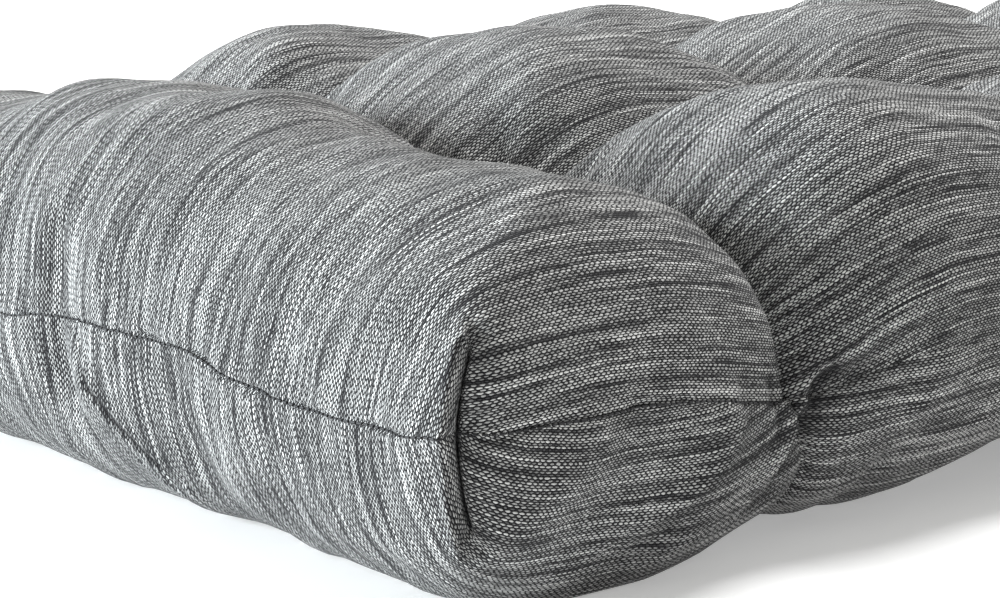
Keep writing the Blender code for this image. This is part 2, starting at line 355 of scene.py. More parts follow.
# The fine mesh: each panel is a grid whose rim is carried down to the seam in rings, so that the corners are
# boxed: a dart runs up each corner, and the cloth's threads turn at it
fineMesh = {
    "cell": 0.0045,  # between grid lines, near the camera's corner and on the far half
    "farCell": 0.0056,
    "wallCell": 0.0023,  # up the near walls
    "wallReach": 0.06,
    "foldCell": 0.0018,  # where a side crease ends in its gather, and by the pleats of the near end
    "gatherBand": (-0.018, 0.036),
    "pleatBand": (0.14, 0.232),
    "dartInset": 0.0085,  # how far in from the edge the rings reach: to the darts' ends
    "ringHeights": (0, 0.0006, 0.0013, 0.0022, 0.0034, 0.005, 0.0072, 0.0098, 0.0126, 0.0155, 0.0185, 0.0215,
                    0.0245, 0.0275, 0.0305, 0.0335),
    "edgeSteps": (0.0006, 0.0007, 0.001, 0.0014, 0.0019, 0.0025, 0.0034),  # grid lines in from the rim
    "fan": 0.1,  # along each side, how far from the corner the rings' lines spread
    "wallSamples": 400,
    "wallClimb": 0.08,
    "rimSamples": 2000,
    "relaxRounds": 5,
    "relaxSteps": 110,
    "tiny": 1e-9,  # both keep cells of no size from a division by nothing
    "hold": 1e-6,
    "underPatternShift": (1.437, 0.811),
}


# Grid lines from rim to rim: evenly spaced along the cloth where it climbs the wall, closer at the gathers
def gridLines(half, tufts, closeBands):
    rim = half - fineMesh["dartInset"]
    fine = np.linspace(0, half - tufts[-1], fineMesh["wallSamples"])
    climb = roundedEdge(fine, cushion["top"]["end"], cushion["top"]["power"]) * fineMesh["wallClimb"]
    arc = np.concatenate([[0], np.cumsum(np.hypot(np.diff(fine), np.diff(climb)))])
    first = np.interp(fineMesh["dartInset"], fine, arc)
    steps = np.concatenate([[0], np.cumsum(fineMesh["edgeSteps"])]) + first
    wallTop = fineMesh["wallReach"]
    farCell = fineMesh["farCell"]
    ends = []
    for wallCell, cell in ((fineMesh["wallCell"], fineMesh["cell"]), (farCell, farCell)):
        upWall = np.linspace(steps[-1], wallTop, int((wallTop - steps[-1]) / wallCell) + 1)[1:]
        onTop = np.linspace(wallTop, arc[-1], int((arc[-1] - wallTop) / cell) + 1)[1:]
        climbSteps = np.concatenate([steps, upWall, onTop])
        ends.append(np.interp(climbSteps, arc, fine) - half)
    ends[0][0] = ends[1][0] = -rim
    lines = list(ends[0])
    for start, stop in zip(tufts, tufts[1:]):
        cell = fineMesh["cell"] if start < 0 else farCell
        count = int(round((stop - start) / cell))
        lines += [start + (stop - start) * k / count for k in range(1, count + 1)]
    lines = np.array(lines[:-1] + [-place for place in reversed(ends[1])])
    for low, high in closeBands:
        band = np.linspace(low, high, int((high - low) / fineMesh["foldCell"]) + 1)
        lines = np.concatenate([lines[lines < low], band, lines[lines > high]])
    return lines


# Distance along each row of points, from its middle
def alongRow(points, axis):
    steps = np.linalg.norm(np.diff(points, axis=axis), axis=-1)
    lead = np.zeros([1 if k == axis else n for k, n in enumerate(steps.shape)])
    total = np.concatenate([lead, np.cumsum(steps, axis=axis)], axis=axis)
    return total - np.take(total, [total.shape[axis] // 2], axis=axis)


# Four corners of every cell between neighbouring rows and columns of numbers
def cells(numbers):
    corners = (numbers[:-1, :-1], numbers[1:, :-1], numbers[1:, 1:], numbers[:-1, 1:])
    return np.stack(corners, axis=-1).reshape(-1, 4)


# One panel: its points, its faces, the cloth coordinates it starts from and the faces' places in them
def finePanel(isTop):
    gx = gridLines(halfX, tuftX, [[tuftX[0] + reach for reach in fineMesh["gatherBand"]]])
    gy = gridLines(halfY, tuftY, [[reach - halfY for reach in fineMesh["pleatBand"]]])
    x, y = np.meshgrid(gx, gy, indexing="ij")
    grid = panel(x, y, isTop)
    countX, countY = x.shape
    ids = np.arange(countX * countY).reshape(countX, countY)
    # The rim of the grid, run round once from the near corner
    rim = np.concatenate([ids[:-1, 0], ids[-1, :-1], ids[:0:-1, -1], ids[0, :0:-1]])
    rimX, rimY = x.ravel()[rim], y.ravel()[rim]
    rimInset = fineMesh["dartInset"]
    climbs = np.linspace(0, rimInset, fineMesh["rimSamples"])
    form = cushion["top" if isTop else "under"]
    rises = roundedEdge(climbs, form["end"], form["power"])
    heights = np.array(fineMesh["ringHeights"])
    spacing = np.diff(heights).mean()
    insets = np.interp(heights / (heights[-1] + spacing), rises / rises[-1], climbs)
    fan = fineMesh["fan"]
    spreadX = kept((np.abs(rimX) - (halfX - rimInset) + fan) / fan)
    spreadY = kept((np.abs(rimY) - (halfY - rimInset) + fan) / fan)
    rings = []
    for inset in insets:
        grow = rimInset - inset
        ringX = rimX + np.sign(rimX) * grow * spreadX
        ringY = rimY + np.sign(rimY) * grow * spreadY
        rings.append(panel(ringX, ringY, isTop))
    rings = np.array(rings + [grid.reshape(-1, 3)[rim]])
    points = np.concatenate([grid.reshape(-1, 3), rings[:-1].reshape(-1, 3)])
    climbed = np.cumsum(np.linalg.norm(np.diff(rings, axis=0), axis=-1), axis=0)
    offSeam = np.full(len(points), 1.0)
    offSeam[rim] = climbed[-1]
    around = len(rim)
    offSeam[ids.size:] = np.concatenate([np.zeros((1, around)), climbed[:-1]]).ravel()
    ringIds = np.concatenate([ids.size + np.arange(around * len(insets)).reshape(-1, around), rim[None]])
    threads = [np.stack([alongRow(grid, 0), alongRow(grid, 1)], axis=-1).reshape(-1, 2)]
    faces, places = [cells(ids)], [cells(ids)]
    total = ids.size
    start = 0
    for side, span in enumerate((countX - 1, countY - 1, countX - 1, countY - 1)):
        order = (start + np.arange(span + 1)) % around
        start += span
        strip = rings[:, order]
        along = alongRow(strip, 1)
        down = np.linalg.norm(np.diff(strip, axis=0), axis=-1)
        down = np.cumsum(down[::-1], axis=0)[::-1]
        atRim = threads[0][rim[order]]
        sign = 1 if side in (0, 1) else -1
        if side in (0, 2):
            block = np.stack([sign * along[:-1], atRim[:, 1] - sign * down], axis=-1)
        else:
            block = np.stack([atRim[:, 0] + sign * down, sign * along[:-1]], axis=-1)
        threads.append(block.reshape(-1, 2))
        own = total + np.arange(block.size // 2).reshape(-1, span + 1)
        total += block.size // 2
        faces.append(cells(ringIds[:, order].T))
        places.append(cells(np.concatenate([own, rim[order][None]]).T))
    darts = np.cumsum([0, countX - 1, countY - 1, countX - 1])
    dartLines = [ringIds[:, dart] for dart in darts]
    return {"points": points, "faces": np.concatenate(faces), "threads": np.concatenate(threads),
            "places": np.concatenate(places), "seam": ringIds[0], "offSeam": offSeam, "darts": dartLines}


# The woven panel is let slide over the shape until each of its cells is as little stretched as it can be
def relaxThreads(points, faces, threads, places):
    corners = np.concatenate([faces[:, [0, 1, 2]], faces[:, [0, 2, 3]]])
    spots = np.concatenate([places[:, [0, 1, 2]], places[:, [0, 2, 3]]])
    a, b, c = (points[corners[:, k]] for k in range(3))
    ab, ac = b - a, c - a
    base = np.linalg.norm(ab, axis=1) + fineMesh["tiny"]
    flatX = (ab * ac).sum(1) / base
    flatY = np.linalg.norm(np.cross(ab, ac), axis=1) / base + fineMesh["tiny"]
    flat = np.zeros((len(corners), 3, 2))
    flat[:, 1, 0], flat[:, 2, 0], flat[:, 2, 1] = base, flatX, flatY
    edges = []
    for i, j, k in ((0, 1, 2), (1, 2, 0), (2, 0, 1)):
        one, two = flat[:, i] - flat[:, k], flat[:, j] - flat[:, k]
        area = np.abs(one[:, 0] * two[:, 1] - one[:, 1] * two[:, 0])
        edges.append((spots[:, i], spots[:, j], 0.5 * (one * two).sum(1) / area, flat[:, i] - flat[:, j]))
    heads, tails, weights = (np.concatenate([edge[k] for edge in edges]) for k in range(3))
    count = len(threads)

    def gather(values):
        return np.bincount(heads, values, count) - np.bincount(tails, values, count)

    diagonal = np.bincount(heads, weights, count) + np.bincount(tails, weights, count) + fineMesh["hold"]
    threads = threads.copy()
    for turn in range(fineMesh["relaxRounds"]):
        fit = np.zeros((len(corners), 2, 2))
        for head, tail, weight, run in edges:
            gap = (threads[head] - threads[tail]) * weight[:, None]
            fit += gap[:, :, None] * run[:, None, :]
        angle = np.arctan2(fit[:, 1, 0] - fit[:, 0, 1], fit[:, 0, 0] + fit[:, 1, 1])
        cos, sin = np.cos(angle), np.sin(angle)
        turned = [np.stack([cos * run[:, 0] - sin * run[:, 1], sin * run[:, 0] + cos * run[:, 1]], axis=-1)
                  for head, tail, weight, run in edges]
        wanted = np.concatenate(turned) * weights[:, None]
        for axis in (0, 1):
            value = threads[:, axis]
            rest = gather(wanted[:, axis]) - gather(weights * (value[heads] - value[tails]))
            step = rest / diagonal
            level = (rest * step).sum()
            for k in range(fineMesh["relaxSteps"]):
                pull = gather(weights * (step[heads] - step[tails]))
                share = level / (step * pull).sum()
                value = value + share * step
                rest = rest - share * pull
                scaled = rest / diagonal
                fresh = (rest * scaled).sum()
                step = scaled + step * (fresh / level)
                level = fresh
            threads[:, axis] = value
    return threads


# What the sewing and the stuffing do to the cloth, in metres out of (or into) the surface. An unevenness has
# a strength, a length and the seed of its random draws
sewing = {
    "ripple": (0.0011, 0.055, 5),
    "fineRipple": (0.000495, 0.0231, 6),
    "pitWrinkle": 0.00064,
    "pitWrinkles": (7, 11),  # two sets run out of each pit
    "pitPhase": (3, 90, 5),  # they lie differently round each
    "pitStart": 0.012,
    "pitFade": 0.45,
    "pitReach": 0.055,
    "pitLowest": 0.06,
    "seamDepth": 0.001,
    "seamWidth": 0.001,
    "sideSeamDepth": 0.0007,  # along the near long side, where it hardly shows
    "sideSeamStart": (0.02, 0.4),
    "sideSeamBand": 0.05,
    "coveredSeam": (0.001, 0.15),  # from the first crease on, where the near seam is drawn in
    "coveredShare": 0.3,
    "wander": (0.001, 0.03, 7),
    "wanderReach": 0.006,
    "tension": (0.85, 0.014, 8),  # how much the seam's depth varies
    "tensionRange": (0.75, 0.05, 2),  # its mean, least and most
    "lipRise": 0.0002,
    "lipAt": 0.0036,
    "lipWidth": 0.002,
    "pucker": (0.0004, 0.0085, 9),
    "puckerStretch": (1, 1, 0.3),  # puckers are longest upwards
    "puckerReach": 0.008,
    "dartDepth": 0.0056,
    "dartWidth": 0.0015,
    "dartTop": 0.0865,  # the height where the darts above the seam end
    "dartReach": 0.08,
    "dartPaintedShade": (0.85, 0.0013),  # its painted shade, and how wide
    "flare": (0.0014, 0.008),  # the cloth on the end's side stands out towards a dart: rise and width
    "roll": (0.0012, 0.0026, 0.0018),  # its rolled edge: rise, distance from the dart and width
    "hollow": (0.0022, 0.003, 0.0045),  # and the hollow on its other side
    "dartLean": 0.0036,  # how far the near dart's top stands towards the long side
    "footLean": 0.0026,  # and its foot
    "leanWay": (0.77, -0.63),
    "leanReach": 0.025,
    "leanUp": 0.03,
    "leanDown": 0.035,
    "lying": 0.004,  # the cloth below this height rests on the floor
    "foldInset": (0.045, 0.02),  # how far behind a wall its folds end, and how softly
    "cutReach": 0.0045,  # how far from a sharp fold the cells are divided
    "cuts": 4,
    "cutFade": 0.006,
}
# Sharp folds: the wall, how deep and wide each is cut in, over what width its sides meet, how far and wide
# they stand out, the painted shade on the line and the sides, and how wide, and the line's places on the wall
sharpFolds = table(
    "wall cut step left right dark line",
    ("end", (0.0014, 0.0011), 0.002, (0.0012, 0.01), (-0.0024, 0.008), (0.65, 0.0, 0.4, 0.006),
     ((0.2215, 0.092), (0.2215, 0.07), (0.219, 0.05), (0.214, 0.034))),
    ("end", (0.0012, 0.0015), 0.003, (-0.001, 0.006), (0.0016, 0.012), (0.85, 0.3, 0.15, 0.005),
     ((0.203, 0.052), (0.197, 0.043), (0.187, 0.034), (0.176, 0.025), (0.165, 0.018))),
    ("end", (0.0008, 0.001), 0.003, (0.0, 0.01), (0.0008, 0.009), (0.5, 0.0, 0.0, 0.004),
     ((0.188, 0.024), (0.176, 0.016), (0.162, 0.01))),
    ("side", (0.0, 0.001), 0.0011, (-0.0024, 0.008), (0.0018, 0.006), (0.0, 0.85, 0.0, 0.009),
     ((0.169, 0.0625), (0.164, 0.0622), (0.159, 0.06), (0.1562, 0.056), (0.1548, 0.05),
      (0.152, 0.044), (0.1478, 0.0385), (0.143, 0.0335), (0.136, 0.0275))),
    ("side", (0.0, 0.0026), 0.002, (-0.0018, 0.004), (-0.0018, 0.004), (0.55, 0.0, 0.0, 0.004),
     ((0.141, 0.064), (0.142, 0.056), (0.1422, 0.046), (0.1385, 0.037))),
    ("side", (0.0008, 0.0009), 0.002, (0.0, 0.006), (0.0008, 0.006), (0.4, 0.0, 0.0, 0.004),
     ((0.116, 0.05), (0.123, 0.0505), (0.131, 0.05))),
    ("side", (0.0, 0.003), 0.003, (-0.0014, 0.012), (0.0012, 0.01), (0.0, 0.4, 0.0, 0.015),
     ((0.1185, 0.054), (0.1172, 0.0503), (0.1118, 0.0405), (0.1018, 0.0328), (0.0935, 0.0269),
      (0.0761, 0.0188))),
    ("side", (0.0, 0.004), 0.004, (0.0006, 0.01), (0.0012, 0.009), None,
     ((0.014, 0.026), (0.03, 0.037), (0.052, 0.051))),
)


# Smooth unevenness: a sum of waves in random directions, about as high as its strength
def unevenness(places, strength, wavelength, seed, waves=24):
    chance = np.random.default_rng(seed)
    total = np.zeros(len(places))
    for k in range(waves):
        heading = chance.normal(size=places.shape[1])
        heading /= np.linalg.norm(heading)
        stretch = wavelength * chance.uniform(0.7, 1.6)
        total += np.sin(places @ heading * 2 * np.pi / stretch + chance.uniform(0, 2 * np.pi))
    return strength * (total / np.sqrt(waves / 2) / 1.6)


# Distance from places to a broken line, and which side of it they are on
def fromLine(places, line):
    nearest = np.full(len(places), 9.0)
    side = np.zeros(len(places))
    for start, stop in zip(line, line[1:]):
        start, run = np.array(start), np.array(stop) - np.array(start)
        off = places - start
        part = kept(off @ run / (run @ run))
        gap = np.linalg.norm(off - part[:, None] * run, axis=1)
        if len(run) == 2:
            side = np.where(gap < nearest, np.sign(run[0] * off[:, 1] - run[1] * off[:, 0]), side)
        nearest = np.minimum(gap, nearest)
    return nearest, side


# Places on a fold's wall, along it from the near corner and up it, and how far behind the wall they are
def wallPlaces(points, fold):
    inset, along = points[:, 0] + halfX, points[:, 1] + halfY
    if fold["wall"] == "side":
        inset, along = along, inset
    return np.stack([along, points[:, 2]], axis=-1), inset


def foldGap(points, fold):
    places, inset = wallPlaces(points, fold)
    gap, side = fromLine(places, fold["line"])
    if fold["wall"] == "end":
        side = -side  # the end wall is seen from outside with its corner on the right
    farIn, fade = sewing["foldInset"]
    return gap, side, kept(1 - (inset - farIn) / fade)


# 0 at both ends of a fold's line, 1 along it
def foldFade(points, fold):
    places = wallPlaces(points, fold)[0]
    ends = [np.linalg.norm(places - np.array(fold["line"][k]), axis=1) for k in (0, -1)]
    return eased(kept(np.minimum(*ends) / sewing["cutFade"]))


def foldHeight(points, fold):
    gap, side, onWall = foldGap(points, fold)
    (left, leftWide), (right, rightWide) = fold["left"], fold["right"]
    sides = np.where(side > 0, left * bell(gap, leftWide), right * bell(gap, rightWide))
    # the two sides meet over the width of the step
    meeting, turning = (left, side <= 0) if right < 0 else (max(left, right), side > 0)
    sides = sides + (meeting - sides) * bell(gap, fold["step"]) * turning
    return sides * onWall * foldFade(points, fold)


# The cloth's cells are divided along each sharp fold, and the fold is cut in and given painted shade, as are
# the darts
def cutFolds(mesh, darts):
    shaded = [fold for fold in sharpFolds if fold["dark"]]
    form = bmesh.new()
    form.from_mesh(mesh)
    points = np.array([corner.co[:] for corner in form.verts])
    close = np.zeros(len(points), dtype=bool)
    for fold in shaded:
        gap, onWall = foldGap(points, fold)[::2]
        close |= (gap < sewing["cutReach"]) & (onWall > 0.5)
    form.verts.index_update()
    edges = [edge for edge in form.edges if close[edge.verts[0].index] and close[edge.verts[1].index]]
    bmesh.ops.subdivide_edges(form, edges=edges, cuts=sewing["cuts"], use_grid_fill=True)
    form.to_mesh(mesh)
    form.free()
    mesh.update()
    points, normals = vectors(mesh.vertices, "co"), vectors(mesh.vertex_normals, "vector")
    # painted shade: darkening on each fold's line and beside it, where its shadow falls
    sunk, shade = np.zeros((2, len(points)))
    for fold in shaded:
        gap, side, onWall = foldGap(points, fold)
        fade = foldFade(points, fold)
        (cut, cutWide), (lineDark, leftDark, rightDark, darkWide) = fold["cut"], fold["dark"]
        sunk += cut * bell(gap, cutWide) * onWall * fade
        beside = np.where(side > 0, leftDark, rightDark) * bell(gap, darkWide)
        dark = np.maximum(lineDark * bell(gap, cutWide), beside)
        shade = np.maximum(shade, dark * onWall * fade)
    # painted shade along each dart's line
    dartPaintedShade, dartWide = sewing["dartPaintedShade"]
    for line in darts:
        shade = np.maximum(shade, dartPaintedShade * bell(fromLine(points, line)[0], dartWide))
    layer = mesh.attributes.new(name="paintedCreaseShade", type="FLOAT", domain="POINT")
    layer.data.foreach_set("value", shade.astype(np.float32))
    moveVertices(mesh, points - normals * sunk[:, None])


def buildCushion():
    top, under = finePanel(True), finePanel(False)
    # The under panel takes the top panel's seam points for its own
    renumber = np.full(len(under["points"]), -1)
    renumber[under["seam"]] = top["seam"]
    own = renumber < 0
    renumber[own] = len(top["points"]) + np.arange(own.sum())
    points = np.concatenate([top["points"], under["points"][own]])
    offSeam = np.concatenate([top["offSeam"], -under["offSeam"][own]])
    faces = np.concatenate([top["faces"], renumber[under["faces"]][:, ::-1]])
    darts = [dart[points[dart, 2] < sewing["dartTop"]] for dart in top["darts"]]
    darts += [renumber[dart] for dart in under["darts"]]
    mesh = bpy.data.meshes.new("cushionCover")
    mesh.from_pydata(points.tolist(), [], faces.tolist())
    mesh.update()
    points = sewnAndStuffed(mesh, points, offSeam, darts)
    print("sewn and stuffed")
    topThreads = relaxThreads(points[:len(top["points"])], top["faces"], top["threads"], top["places"])
    underThreads = relaxThreads(points[renumber], under["faces"], under["threads"], under["places"])
    threads = np.concatenate([topThreads, underThreads + fineMesh["underPatternShift"]])
    places = np.concatenate([top["places"], under["places"][:, ::-1] + len(topThreads)])
    layer = mesh.uv_layers.new(name="threads")
    layer.data.foreach_set("uv", threads[places].astype(np.float32).ravel())
    print("threads laid")
    moveVertices(mesh, points)
    cutFolds(mesh, [points[dart] for dart in darts])
    mesh.shade_smooth()
    sewn = [points[top["seam"]]] + [points[dart] for dart in darts]
    return placed("cushionCover", mesh), [line + outwardsAt(line) * stitches["lift"] for line in sewn]


# Straight out of the cushion's side, at the places of a seam
def outwardsAt(line):
    isEnd = np.abs(line[:, 0]) / length > np.abs(line[:, 1]) / depth
    return np.sign(line) * np.stack([isEnd, ~isEnd, np.zeros_like(isEnd)], axis=-1)


# The part of the near side's seam that hardly shows
def covered(points):
    low, high = (tuftX[0] + reach for reach in sewing["coveredSeam"])
    return (points[:, 0] > low) & (points[:, 0] < high) & (points[:, 1] < 0)


def sewnAndStuffed(mesh, points, offSeam, darts):
    normals = vectors(mesh.vertex_normals, "vector")
    corners = np.array([points[dart[0]] for dart in darts[:4]])
    # the stuffing is never quite even
    height = unevenness(points, *sewing["ripple"])
    height += unevenness(points, *sewing["fineRipple"])
    # wrinkles that run out of each pit
    few, many = sewing["pitWrinkles"]
    byColumn, byRow, manyByColumn = sewing["pitPhase"]
    for k, x in enumerate(tuftX):
        for y in tuftY:
            off = points - panel(np.array([[x]]), np.array([[y]]), True)[0, 0]
            reach = np.hypot(off[:, 0], off[:, 1])
            turn = np.arctan2(off[:, 1], off[:, 0])
            wave = np.sin(few * turn + byColumn * k + byRow * y) + np.sin(many * turn + manyByColumn * k)
            start = reach / sewing["pitStart"]
            size = start * np.exp(1 - start * sewing["pitFade"]) * (points[:, 2] > sewing["pitLowest"])
            height += sewing["pitWrinkle"] * wave * size * bell(reach, sewing["pitReach"])
    # the seam
    off = offSeam + unevenness(points, *sewing["wander"]) * bell(offSeam, sewing["wanderReach"])
    mean, least, most = sewing["tensionRange"]
    tension = np.clip(mean + unevenness(points, *sewing["tension"]), least, most)
    ease, start = sewing["sideSeamStart"]
    nearSide = kept((points[:, 0] + halfX) / ease - start)
    nearSide = (points[:, 1] < -halfY + sewing["sideSeamBand"]) * nearSide
    seamDepth = mixed(sewing["seamDepth"], sewing["sideSeamDepth"], nearSide)
    seamDepth = seamDepth * np.where(covered(points), sewing["coveredShare"], 1)
    height -= seamDepth * tension * bell(off, sewing["seamWidth"])
    height += sewing["lipRise"] * bell(np.abs(off) - sewing["lipAt"], sewing["lipWidth"])
    pucker = unevenness(points * sewing["puckerStretch"], *sewing["pucker"])
    height += pucker * bell(off, sewing["puckerReach"])
    # the darts: cut in, rolled on the end's side and hollow on the other
    for k, dart in enumerate(darts):
        rel = points - corners[k % 4]
        near = np.linalg.norm(rel, axis=1) < sewing["dartReach"]
        gap = fromLine(points[near], points[dart])[0]
        (flare, flareWide), (roll, rollAt, rollWide) = sewing["flare"], sewing["roll"]
        hollow, hollowAt, hollowWide = sewing["hollow"]
        shape = -sewing["dartDepth"] * bell(gap, sewing["dartWidth"])
        shape += np.where(np.abs(rel[near, 1]) > np.abs(rel[near, 0]),
                          flare * bell(gap, flareWide) + roll * bell(gap - rollAt, rollWide),
                          -hollow * bell(gap - hollowAt, hollowWide))
        height[near] += shape
    for fold in sharpFolds:
        height += foldHeight(points, fold)
    moved = points + normals * height[:, None]
    # the near dart leans
    rel = points - corners[0]
    reach = bell(np.linalg.norm(rel[:, :2], axis=1), sewing["leanReach"])
    lean = sewing["dartLean"] * kept(rel[:, 2] / sewing["leanUp"]) * reach
    lean = lean * bell(kept(rel[:, 2] - sewing["leanUp"]), sewing["leanUp"])
    lean += sewing["footLean"] * kept(-rel[:, 2] / sewing["leanDown"]) * reach
    moved[:, :2] += lean[:, None] * sewing["leanWay"]
    # and what lies on the floor stays there
    moved[:, 2] = np.maximum(moved[:, 2], 0)
    lying = points[:, 2] < sewing["lying"]
    moved[lying, 2] = np.minimum(moved[lying, 2], points[lying, 2])
    return moved


def plug(tree, slot, value):
    if isinstance(value, Signal):
        tree.links.new(value.socket, slot)
    else:
        slot.default_value = value


# Shader maths: a socket that takes part in expressions
class Signal:
    def __init__(self, tree, socket):
        self.tree = tree
        self.socket = socket

    def math(self, operation, *values, clamp=False):
        node = self.tree.nodes.new("ShaderNodeMath")
        node.operation = operation
        node.use_clamp = clamp
        for slot, value in zip(node.inputs, values):
            plug(self.tree, slot, value)
        return Signal(self.tree, node.outputs[0])

    def __add__(self, other):
        return self.math("ADD", self, other)

    def __sub__(self, other):
        return self.math("SUBTRACT", self, other)

    def __rsub__(self, other):
        return self.math("SUBTRACT", other, self)

    def __mul__(self, other):
        return self.math("MULTIPLY", self, other)

    def __truediv__(self, other):
        return self.math("DIVIDE", self, other)

    def __rtruediv__(self, other):
        return self.math("DIVIDE", other, self)

    def __pow__(self, other):
        return self.math("POWER", self, other)

    __radd__ = __add__
    __rmul__ = __mul__

    def floor(self):
        return self.math("FLOOR", self)

    def fraction(self):
        return self.math("FRACT", self)

    def size(self):
        return self.math("ABSOLUTE", self)

    def clamped(self):
        return self.math("ADD", self, 0.0, clamp=True)

    def swing(self, strength):  # noise runs from 0 to 1: its unevenness about nothing
        return (self - 0.5) * strength


class Tree:
    def __init__(self, tree):
        self.tree = tree

    # Sockets go by their names, or by number as in0
    def node(self, kind, settings=None, **sockets):
        node = self.tree.nodes.new(kind)
        for name, value in (settings or {}).items():
            setattr(node, name, value)
        for name, value in sockets.items():
            plug(self.tree, node.inputs[int(name[2:]) if name[2:].isdigit() else name], value)
        return node

    def signal(self, node, output=0):
        return Signal(self.tree, node.outputs[output])


class Shader(Tree):
    def __init__(self, name):
        self.material = bpy.data.materials.new(name)
        self.material.use_nodes = True
        super().__init__(self.material.node_tree)
        self.surface = self.tree.nodes["Principled BSDF"]

    def vector(self, x, y, z=0.0):
        return self.signal(self.node("ShaderNodeCombineXYZ", in0=x, in1=y, in2=z))

    def noise(self, place, scale, detail=1.0, roughness=0.5):
        node = self.node("ShaderNodeTexNoise", Vector=place, Scale=scale, Detail=detail, Roughness=roughness)
        return self.signal(node, "Fac")

    def white(self, place):
        return self.signal(self.node("ShaderNodeTexWhiteNoise", {"noise_dimensions": "3D"}, Vector=place))

    def mix(self, factor, first, second):
        node = self.node("ShaderNodeMix", {"data_type": "RGBA"}, in0=factor, in6=first, in7=second)
        return self.signal(node, 2)

    def feed(self, socket, value):
        plug(self.tree, self.surface.inputs[socket], value)


weave = {
    "slubPitch": 0.0008,  # from one slub yarn to the next
    "crossPitch": 0.0011,  # from one cross yarn to the next
    # near-black between the yarns: dark fibre, with painted shade in the gaps
    "gap": (0.004, 0.004, 0.005, 1),
    "crossDark": (0.014, 0.014, 0.015, 1),
    "crossLight": (0.054, 0.054, 0.057, 1),
    "slubDark": (0.047, 0.047, 0.05, 1),
    "slubLight": (0.7, 0.7, 0.69, 1),
    "fray": (900.0, 0.35),  # scale of the noise at a yarn's edges, and its strength
    "rowWave": (60.0, 1.3),
    "rowDrift": (12.0, 290.0, 1.5),  # how unevenly the rows lie: scales along and across, and strength
    "columnWave": 90.0,
    "ownShift": 0.22,  # how differently each yarn's dashes begin
    "slub": (15.0, 5.37, 1.65),  # light and dark yarns, likewise
    "short": (45.0, 3.1, 1.2),
    "band": (8.0, 300.0, 1.1),
    "spots": 0.26,  # how differently light the dashes of one yarn are
    "lightness": 0.475,
    "dashLength": (0.27, 0.09, 0.12),  # half of it: the least, by chance and on light yarns
    "dashWidth": (0.35, 0.12, 0.06),  # half of it: the least, on light yarns and by chance
    "crossLength": 0.16,
    "crossWidth": 0.46,
    "dashEdge": 3.2,  # how sharply a yarn's edge shows
    "crossEdge": 2.2,
    "crossSpots": 0.6,
    "slubHeight": (0.75, 0.5),  # the least, and how much higher light yarns stand
    "crossHeight": 0.5,
    "roughness": 0.93,
    "gloss": 0.1,
    "sheen": 0.05,
    "sheenRoughness": 0.6,
    "bump": 0.0006,
    "bumpStrength": 0.8,
}


def weaveMaterial():
    s = Shader("slubWeave")
    threads = s.signal(s.node("ShaderNodeUVMap", {"uv_map": "threads"}))
    split = s.node("ShaderNodeSeparateXYZ", in0=threads)
    u, v = s.signal(split, 0), s.signal(split, 1)
    flat = s.vector(u, v)

    # Noise that is stretched along the yarns
    def streaks(across, name, height=0.0, detail=1.0, roughness=0.5):
        alongScale, acrossScale, strength = weave[name]
        place = s.vector(u * alongScale, across * acrossScale, height)
        return s.noise(place, 1.0, detail, roughness).swing(strength)

    frayScale, fray = weave["fray"]
    waveScale, wave = weave["rowWave"]
    row = v / weave["slubPitch"] + s.noise(flat, waveScale).swing(wave) + s.noise(flat, frayScale).swing(fray)
    row = row + streaks(v, "rowDrift", 2.0)
    yarn = row.floor()
    across = row.fraction() - 0.5
    ownShift = s.white(s.vector(yarn, 3.7)) * weave["ownShift"]
    # On every second yarn the dashes begin half a step later
    step = u / (2 * weave["crossPitch"]) + (yarn * 0.5).fraction() + ownShift
    step = step + (s.noise(flat, weave["columnWave"]) - 0.5)
    step = step + s.noise(s.vector(u, v, 3.0), frayScale).swing(fray)
    cell = step.floor()
    along = step.fraction() - 0.5
    chance = s.white(s.vector(cell, yarn))
    chanceToo = s.white(s.vector(cell, yarn, 5.0))
    # Each slub yarn is thick and light for a few centimetres, then thin and dark
    light = streaks(yarn, "slub") + streaks(yarn, "short", 4.0) + streaks(v, "band", 0.0, 2.0, 0.6)
    light = (light + chance.swing(weave["spots"]) + weave["lightness"]).clamped()
    least, byChance, byLight = weave["dashLength"]
    long = least + chanceToo * byChance + light * byLight
    least, byLight, byChance = weave["dashWidth"]
    fat = least + light * byLight + chance.swing(byChance)
    over = (1.0 - (along / long) ** 2.0 - (across / fat) ** 2.0).clamped()
    side = (along.size() - 0.5) / weave["crossLength"]
    under = (1.0 - side * side - (across / weave["crossWidth"]) ** 2.0).clamped()
    slubColour = s.mix(light, weave["slubDark"], weave["slubLight"])
    crossLight = chanceToo * weave["crossSpots"] + light * (1 - weave["crossSpots"])
    crossColour = s.mix(crossLight, weave["crossDark"], weave["crossLight"])
    # between the yarns the gap colour shows: dark fibre and painted shade
    ground = s.mix((under * weave["crossEdge"]).clamped(), weave["gap"], crossColour)
    cloth = s.mix((over * weave["dashEdge"]).clamped(), ground, slubColour)
    # painted shade from the folds and darts darkens the cloth towards the gap colour
    shade = s.signal(s.node("ShaderNodeAttribute", {"attribute_name": "paintedCreaseShade"}), "Fac")
    s.feed("Base Color", s.mix(shade, cloth, weave["gap"]))
    least, byLight = weave["slubHeight"]
    height = over ** 0.5 * (least + light * byLight) + under ** 0.5 * weave["crossHeight"]
    bump = s.node("ShaderNodeBump", Strength=weave["bumpStrength"], Distance=weave["bump"], Height=height)
    s.feed("Normal", s.signal(bump))
    s.feed("Roughness", weave["roughness"])
    s.feed("Specular IOR Level", weave["gloss"])
    s.feed("Sheen Weight", weave["sheen"])
    s.feed("Sheen Roughness", weave["sheenRoughness"])
    return s.material


